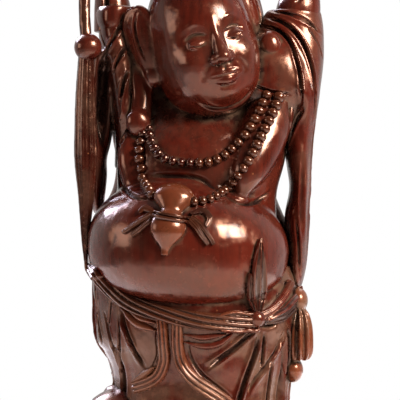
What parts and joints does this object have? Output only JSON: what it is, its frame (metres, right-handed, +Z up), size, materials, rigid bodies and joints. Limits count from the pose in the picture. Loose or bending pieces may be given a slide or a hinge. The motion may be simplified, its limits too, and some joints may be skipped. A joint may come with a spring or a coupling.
{
  "type": "budai figure",
  "caption": "Standing carved hardwood budai figure with raised arms, open robe, round belly, prayer beads, gourd pendant and low base.",
  "frame": {"origin": "under the middle of the low base, on the surface it stands on", "axes": "+Z up, the figure faces -Y, +X is to the right of whoever looks at its front"},
  "size_m": [0.2768, 0.2357, 0.5811],
  "materials": {
    "rosewood": "dark red-brown stain under worn semi-gloss lacquer"
  },
  "bodies": {
    "root": {"figure": "rosewood"}
  },
  "joints": []
}
